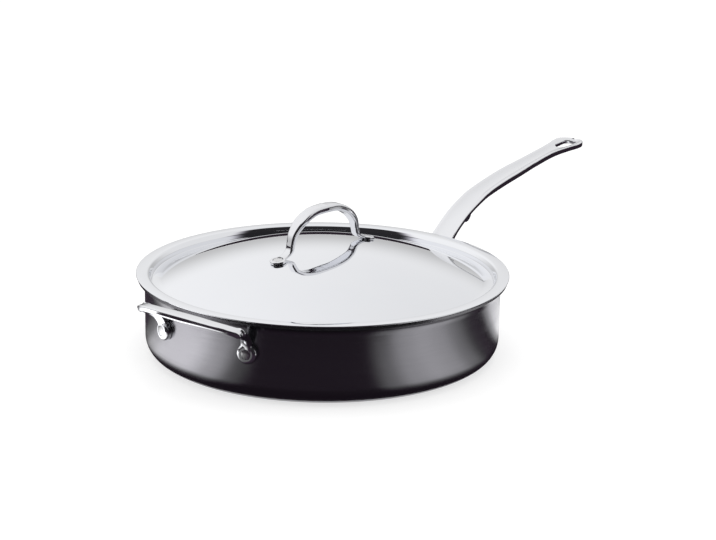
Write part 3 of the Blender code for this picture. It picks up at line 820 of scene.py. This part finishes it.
def saddle():
    """The block that spreads from the long handle's root to a round lug at each rivet."""
    diameter = 2 * SADDLE_LUG_RADIUS
    inner, outer = SADDLE_BLOCK_SHARES
    upright = Matrix.Rotation(math.pi / 2, 4, "Z") @ Matrix.Rotation(math.pi / 2, 4, "X")
    placement = Matrix.Translation((0, 0, HANDLE_RIVET_HEIGHT)) @ upright
    outline = stadium(HANDLE_RIVET_SPACING + diameter, diameter)
    block = prism("saddle_block", outline, WALL_RADIUS * inner, SADDLE_FACE * outer, placement)
    combine(block, cylinder("saddle_face", SADDLE_FACE, *SADDLE_TRIM_REACH), "INTERSECT")
    return block


def hang_hole():
    centre = WALL_RADIUS + HANDLE_LENGTH - HANG_HOLE_MARGIN - HANG_HOLE_LENGTH / 2
    outline = stadium(HANG_HOLE_LENGTH, HANG_HOLE_WIDTH)
    return prism("hang_hole", outline, *HANG_HOLE_REACH, Matrix.Translation((centre, 0, 0)))


def make_long_handle(rivet_places):
    rows = handle_rows()
    sections = []
    for i, (reach, height, width, edge) in enumerate(rows):
        before, after = neighbours(rows, i)
        slope = Vector((after[0] - before[0], 0, after[1] - before[1])).normalized()
        normal = Vector((-slope.z, 0, slope.x))
        groove = min(HANDLE_GROOVE, width * HANDLE_GROOVE_LIMIT)
        point = Vector((WALL_RADIUS + reach, 0, height))
        sections.append(handle_section(point, normal, width / 2, edge, groove))
    handle = loft("long_handle_form", sections)
    combine(handle, saddle(), "UNION")
    combine(handle, stop_lug(rows), "UNION")
    trim_to_wall(handle)
    combine(handle, hang_hole(), "DIFFERENCE")
    cast_skin(handle, LONG_HANDLE_VOXEL)
    for placement in rivet_places:
        recess(handle, placement, SADDLE_FACE)
    dress(handle, "long_handle", "pan", CAST)


def helper_rows():
    """Half of the helper handle's path, from a lug to the middle of its bar.

    Each row is the distance from the pan's axis, the sideways offset, the
    height, and the section's size in the loop's plane and across it.
    """
    side = HELPER_RIVET_SPACING / 2
    lug = math.sqrt(WALL_RADIUS ** 2 - side ** 2) + HELPER_LUG_THICKNESS * HELPER_NECK_SEAT_SHARE
    bar = WALL_RADIUS + HELPER_REACH
    half = HELPER_HALF_SPAN
    low = HELPER_RIVET_HEIGHT
    high = HELPER_BAR_HEIGHT
    rise = high - low
    wide = HELPER_BAR_WIDTH
    thick = HELPER_BAR_THICKNESS
    neck = HELPER_NECK_WIDTH
    neck_thick = HELPER_NECK_THICKNESS
    return [
        (lug, side, low + rise * 0.04, neck * 1.02, neck_thick * 0.98),
        (lug + 0.0010, side + 0.0010, low + rise * 0.31, neck * 0.96, neck_thick),
        (lug + 0.0040, side + 0.0030, low + rise * 0.54, neck * 0.92, neck_thick * 1.08),
        (lug + 0.0096, half - 0.0022, low + rise * 0.74, neck * 0.84, neck_thick * 1.25),
        (bar - 0.0066, half - 0.0006, high - 0.0034, thick * 0.95, wide * 0.80),
        (bar - 0.0026, half - 0.0056, high - 0.0014, thick * 0.82, wide * 0.90),
        (bar - 0.0008, half - 0.0130, high - 0.0003, thick * 0.80, wide * 0.92),
        (bar, half * 0.5, high, thick * 0.86, wide * 0.95),
        (bar, half * 0.25, high, thick * 0.94, wide),
        (bar, 0, high - 0.0001, thick, wide),
    ]


def make_helper_handle(azimuths, rivet_places):
    """A bent loop on two round lugs, whose flat faces are level with the rivets' heads."""
    half_rows = smooth_rows(helper_rows(), SPAN_STEPS)
    rows = half_rows + [[r[0], -r[1], *r[2:]] for r in half_rows[-2::-1]]
    outward = Vector((-1, 0, 0))
    sections = []
    for i, (reach, side, height, in_loop, across_loop) in enumerate(rows):
        before, after = neighbours(rows, i)
        path = Vector((before[0] - after[0], after[1] - before[1], after[2] - before[2])).normalized()
        across = (outward - path * outward.dot(path)).normalized()
        sections.append(rounded_section(
            Vector((-reach, side, height)), across, path.cross(across), across_loop / 2, in_loop / 2,
            HELPER_SECTION_POWER,
        ))
    handle = loft("helper_handle_form", sections)
    for azimuth in azimuths:
        lug = boss(
            "helper_lug", HELPER_LUG_RADIUS, HELPER_LUG_FACE, HELPER_LUG_EDGE_ROUND,
            WALL_RADIUS * HELPER_LUG_ROOT_SHARE, radial_placement(azimuth, HELPER_RIVET_HEIGHT),
        )
        combine(handle, lug, "UNION")
    trim_to_wall(handle)
    cast_skin(handle)
    for placement in rivet_places:
        recess(handle, placement, HELPER_LUG_FACE)
    dress(handle, "helper_handle", "pan", CAST)


def lid_handle_rows(foot_radius):
    """Half of the lid handle's path, from a foot to the top of the arch.

    Each row is the distance from the middle, the height, and the strap's
    width and thickness.
    """
    half = LID_HANDLE_SPAN / 2
    ground = dome_height(foot_radius) + SEAT_GAP
    foot = LID_FOOT_THICKNESS
    leg_width = LID_HANDLE_LEG_WIDTH
    leg_thick = LID_HANDLE_LEG_THICKNESS
    thick = LID_HANDLE_THICKNESS
    base = dome_height(half)
    top = DOME_TOP + LID_HANDLE_RISE
    rise = top - base
    return [
        (foot_radius, ground + foot * 0.5, leg_width, foot),
        (half + 0.0052, base + rise * 0.068, leg_width, foot * 1.15),
        (half + 0.0006, base + rise * 0.163, leg_width, leg_thick),
        (half - 0.0010, base + rise * 0.310, leg_width, leg_thick * 1.15),
        (half * 0.905, base + rise * 0.549, leg_width * 1.2, thick * 0.76),
        (half * 0.690, base + rise * 0.797, leg_width * 1.54, thick * 0.88),
        (half * 0.360, base + rise * 0.966, LID_HANDLE_TOP_WIDTH * 0.94, thick * 0.97),
        (0, top, LID_HANDLE_TOP_WIDTH, thick),
    ]


def make_lid_handle(foot_radius, foot_places):
    half_rows = smooth_rows(lid_handle_rows(foot_radius), SPAN_STEPS)
    rows = half_rows + [[-r[0], *r[1:]] for r in half_rows[-2::-1]]
    turn = Matrix.Rotation(LID_TURN, 3, "Z")
    across = Vector((0, 1, 0))
    sections = []
    for i, (reach, height, width, thickness) in enumerate(rows):
        before, after = neighbours(rows, i)
        path = Vector((after[0] - before[0], 0, after[1] - before[1])).normalized()
        section = rounded_section(
            Vector((reach, 0, height)), across, path.cross(across), width / 2, thickness / 2,
            LID_HANDLE_SECTION_POWER,
        )
        sections.append([turn @ point for point in section])
    handle = loft("lid_handle_form", sections)
    bevel = LID_FOOT_THICKNESS * LID_FOOT_BEVEL_SHARE
    for placement in foot_places:
        foot = boss("lid_foot", LID_FOOT_RADIUS, LID_FOOT_FACE, bevel, SEAT_GAP, placement)
        combine(handle, foot, "UNION")
    cast_skin(handle)
    for placement in foot_places:
        recess(handle, placement, LID_FOOT_FACE)
    dress(handle, "lid_handle", "lid", CAST)


def main():
    handle_turn = math.asin(HANDLE_RIVET_SPACING / 2 / WALL_RADIUS)
    helper_turn = math.asin(HELPER_RIVET_SPACING / 2 / WALL_RADIUS)
    helper_azimuths = (math.pi - helper_turn, math.pi + helper_turn)
    handle_places = [radial_placement(side * handle_turn, HANDLE_RIVET_HEIGHT) for side in (1, -1)]
    helper_places = [radial_placement(azimuth, HELPER_RIVET_HEIGHT) for azimuth in helper_azimuths]
    foot_radius = LID_HANDLE_SPAN / 2 + LID_FOOT_OFFSET
    foot_places = [dome_placement(foot_radius, side) for side in (1, -1)]
    make_body(handle_places + helper_places)
    make_lid(foot_places)
    pan_inside = WALL_RADIUS - BODY_THICKNESS - INNER_HEAD_STAND
    for name, placement in zip(("long_handle_rivet_left", "long_handle_rivet_right"), handle_places):
        make_rivet(name, "pan", placement, pan_inside, SADDLE_FACE)
    for name, placement in zip(("helper_rivet_left", "helper_rivet_right"), helper_places):
        make_rivet(name, "pan", placement, pan_inside, HELPER_LUG_FACE)
    under_lid = -LID_THICKNESS - SEAT_GAP - RIVET_INNER_THICKNESS
    for name, placement in zip(("lid_rivet_front", "lid_rivet_back"), foot_places):
        make_rivet(name, "lid", placement, under_lid, LID_FOOT_FACE)
    make_long_handle(handle_places)
    make_helper_handle(helper_azimuths, helper_places)
    make_lid_handle(foot_radius, foot_places)


MIRROR = mirror_steel()
CAST = cast_steel()
RIVET = rivet_steel()
SATIN = satin_steel()
TITANIUM = dark_titanium()
main()


# Camera, light and floor

def place_camera():
    """Look at the pan's axis, then turn and roll so that it lands where the photograph has it."""
    back = Vector((0, -math.cos(VIEW_ELEVATION), math.sin(VIEW_ELEVATION)))
    facing = (-back).to_track_quat("-Z", "Y").to_matrix()
    offset = AIM_PX - IMAGE_SIZE / 2
    facing = Matrix.Rotation(math.atan(offset.x / FOCAL_LENGTH_PX), 3, "Z") @ facing
    facing = Matrix.Rotation(math.atan(offset.y / FOCAL_LENGTH_PX), 3, facing.col[0]) @ facing
    facing = facing @ Matrix.Rotation(VIEW_ROLL, 3, "Z")
    turn = Matrix.Rotation(-VIEW_AZIMUTH, 4, "Z")
    place = Matrix.Translation(back * VIEW_DISTANCE + Vector((0, 0, AIM_HEIGHT)))
    camera = new_object("camera", bpy.data.cameras.new("camera"))
    camera.matrix_world = turn @ place @ facing.to_4x4()
    camera.data.sensor_width = SENSOR_WIDTH
    camera.data.lens = FOCAL_LENGTH_PX * SENSOR_WIDTH / IMAGE_SIZE.x
    bpy.context.scene.camera = camera


def around(azimuth, distance, height=0.0):
    """A point round the pan, its azimuth counted from the camera's side to the right."""
    turn = azimuth - VIEW_AZIMUTH
    return Vector((distance * math.sin(turn), -distance * math.cos(turn), height))


TO_CAMERA = around(0, 1)
TO_RIGHT = around(math.radians(90), 1)


def softbox(name, position, size, radiance):
    """A lamp that looks at the pan and that metal doesn't mirror."""
    data = bpy.data.lights.new(name, "AREA")
    data.shape = "RECTANGLE"
    data.size, data.size_y = size
    data.energy = radiance * math.pi * size[0] * size[1]
    lamp = new_object(name, data)
    lamp.location = position
    lamp.rotation_mode = "QUATERNION"
    lamp.rotation_quaternion = (LAMP_TARGET - position).to_track_quat("-Z", "Y")
    lamp.visible_glossy = False


def light_path_mask(nodes):
    """1 for what the camera, the metal and glass see directly, and 0 for diffuse light."""
    path = nodes.node("ShaderNodeLightPath")
    seen = nodes.math("MAXIMUM", path.outputs["Is Camera Ray"], path.outputs["Is Glossy Ray"])
    return nodes.math("MAXIMUM", seen, path.outputs["Is Transmission Ray"])


def new_material(name):
    material = bpy.data.materials.new(name)
    material.use_nodes = True
    return material


def make_floor():
    half = FLOOR_HALF_SIZE
    mesh = bpy.data.meshes.new("floor")
    corners = [(-half, -half, 0), (half, -half, 0), (half, half, 0), (-half, half, 0)]
    mesh.from_pydata(corners, [], [(0, 1, 2, 3)])
    floor = new_object("floor", mesh)
    material = new_material("floor")
    nodes = Nodes(material.node_tree)
    shader = nodes.tree.nodes["Principled BSDF"]
    shader.inputs["Base Color"].default_value = (*FLOOR_COLOUR, 1)
    shader.inputs["Roughness"].default_value = 1
    shader.inputs["Specular IOR Level"].default_value = 0
    shader.inputs["Emission Color"].default_value = (*WHITE, 1)
    lift = nodes.math("MULTIPLY", light_path_mask(nodes), FLOOR_LIFT)
    nodes.link(lift, shader.inputs["Emission Strength"])
    mesh.materials.append(material)


def make_world():
    """White for the camera, plain grey for diffuse light, and a studio for the metal.

    The metal's studio is fixed in the room: dark on the side of the photograph's
    camera up to near the zenith, and a little darker to the right and low down.
    """
    world = bpy.data.worlds.new("studio")
    bpy.context.scene.world = world
    world.use_nodes = True
    nodes = Nodes(world.node_tree)
    background = nodes.tree.nodes["Background"]
    path = nodes.node("ShaderNodeLightPath")
    direction = nodes.node("ShaderNodeTexCoord").outputs["Generated"]

    def along(axis):
        product = nodes.node("ShaderNodeVectorMath", operation="DOT_PRODUCT")
        product.inputs[1].default_value = axis
        nodes.link(direction, product.inputs[0])
        return product.outputs["Value"]

    height = nodes.split(direction)["Z"]
    flat = nodes.math("SQRT", nodes.math("SUBTRACT", 1.0, nodes.math("MULTIPLY", height, height)))
    facing = nodes.math("DIVIDE", along(TO_CAMERA), nodes.math("MAXIMUM", flat, SMALLEST_DIVISOR))
    in_front = nodes.map_range(facing, *FRONT_SPREAD, 0.0, 1.0)
    below_top = nodes.map_range(height, *FRONT_TOP, 1.0, 0.0)
    toward = nodes.math("MULTIPLY", in_front, below_top)
    front = nodes.map_range(toward, 0.0, 1.0, 1.0, FRONT_LEVEL)
    sideways = nodes.map_range(along(TO_RIGHT), *SIDE_SPREAD, 1.0, RIGHT_LEVEL)
    low = nodes.map_range(height, *LOW_SKY, LOW_LEVEL, 1.0)
    seen = nodes.math("MULTIPLY", nodes.math("MULTIPLY", front, sideways), low)
    level = nodes.node("ShaderNodeMix", data_type="FLOAT")
    glossy = path.outputs["Is Glossy Ray"]
    nodes.link(glossy, level.inputs["Factor"])
    nodes.link(nodes.map_range(path.outputs["Is Camera Ray"], 0, 1, WORLD_LEVEL, 1.0), level.inputs["A"])
    nodes.link(seen, level.inputs["B"])
    nodes.link(level.outputs["Result"], background.inputs["Strength"])
    tint = nodes.mix_colours(nodes.math("MULTIPLY", toward, glossy), WHITE, FRONT_TINT)
    nodes.link(tint, background.inputs["Color"])


def make_floor_card():
    """A graduated, glowing card on the floor round the pan, which only the metal reflects: painted
    reflections, its glow set by azimuth into the light and dark bands the metal mirrors.
    """
    mesh = bpy.data.meshes.new("floor_card")
    points, faces = [], []
    for i in range(CARD_STEPS):
        azimuth = 2 * math.pi * i / CARD_STEPS
        points += [around(azimuth, CARD_INNER, CARD_HEIGHT), around(azimuth, CARD_OUTER, CARD_HEIGHT)]
        j = (i + 1) % CARD_STEPS
        faces.append((2 * i, 2 * i + 1, 2 * j + 1, 2 * j))
    mesh.from_pydata(points, [], faces)
    obj = new_object("floor_card", mesh)
    material = new_material("floor_card")
    nodes = Nodes(material.node_tree)
    nodes.tree.nodes.remove(nodes.tree.nodes["Principled BSDF"])
    emission = nodes.node("ShaderNodeEmission")
    nodes.link(emission.outputs[0], nodes.tree.nodes["Material Output"].inputs["Surface"])
    x, y, _ = nodes.split(nodes.node("ShaderNodeTexCoord").outputs["Object"])

    def along(axis):
        return nodes.math("ADD", nodes.math("MULTIPLY", x, axis.x), nodes.math("MULTIPLY", y, axis.y))

    angle = nodes.math("ARCTAN2", along(TO_RIGHT), along(TO_CAMERA))
    share = nodes.math("ADD", nodes.math("DIVIDE", angle, 2 * math.pi), 0.5)

    def by_azimuth(levels, peak=1.0):
        """A value by azimuth; the ramp holds colours up to 1, so it is scaled by the peak."""
        ramp = nodes.node("ShaderNodeValToRGB")
        ramp.color_ramp.interpolation = "EASE"
        stops = ramp.color_ramp.elements
        while len(stops) > 1:
            stops.remove(stops[-1])
        for i, (degrees, value) in enumerate(levels):
            place = (degrees + 180) / 360
            stop = stops[0] if i == 0 else stops.new(place)
            stop.position = place
            stop.color = (value / peak, value / peak, value / peak, 1)
        nodes.link(share, ramp.inputs["Fac"])
        return nodes.math("MULTIPLY", ramp.outputs["Color"], peak)

    radius = nodes.distance(x, y)
    # Painted shadow: the glow fades to dark next to the pan's foot, where the floor lies in the pan's
    # shadow
    painted_contact_shade = nodes.map_range(radius, *PAINTED_CONTACT_SHADE, 0.0, 1.0)
    reach = nodes.math("DIVIDE", radius, by_azimuth(CARD_REACH))
    near = nodes.math("MULTIPLY", painted_contact_shade, nodes.map_range(reach, *CARD_FADE, 1.0, 0.0))
    # Painted reflections: the card's glow by azimuth, which the metal mirrors as its light and dark
    # bands
    lit = nodes.math("MULTIPLY", by_azimuth(CARD_LEVELS, CARD_PEAK), near)
    level = nodes.math("MAXIMUM", lit, CARD_LOWEST)
    nodes.link(level, emission.inputs["Strength"])
    tint = nodes.mix_colours(nodes.map_range(level, *TINT_RANGE, 0.0, 1.0), DARK_TINT, PALE_TINT)
    nodes.link(tint, emission.inputs["Color"])
    mesh.materials.append(material)
    obj.visible_camera = False
    obj.visible_diffuse = False
    obj.visible_shadow = False


def make_stage():
    bpy.context.scene.view_settings.view_transform = "Standard"
    make_floor()
    make_world()
    make_floor_card()
    left = around(LEFT_AZIMUTH, SOFTBOX_DISTANCE, SOFTBOX_HEIGHT)
    right = around(RIGHT_AZIMUTH, SOFTBOX_DISTANCE, SOFTBOX_HEIGHT)
    softbox("left_softbox", left, SOFTBOX_SIZE, LEFT_LEVEL)
    softbox("right_softbox", right, SOFTBOX_SIZE, RIGHT_LAMP_LEVEL)
    softbox("overhead_softbox", Vector((0, 0, OVERHEAD_HEIGHT)), OVERHEAD_SIZE, OVERHEAD_LEVEL)


place_camera()
make_stage()
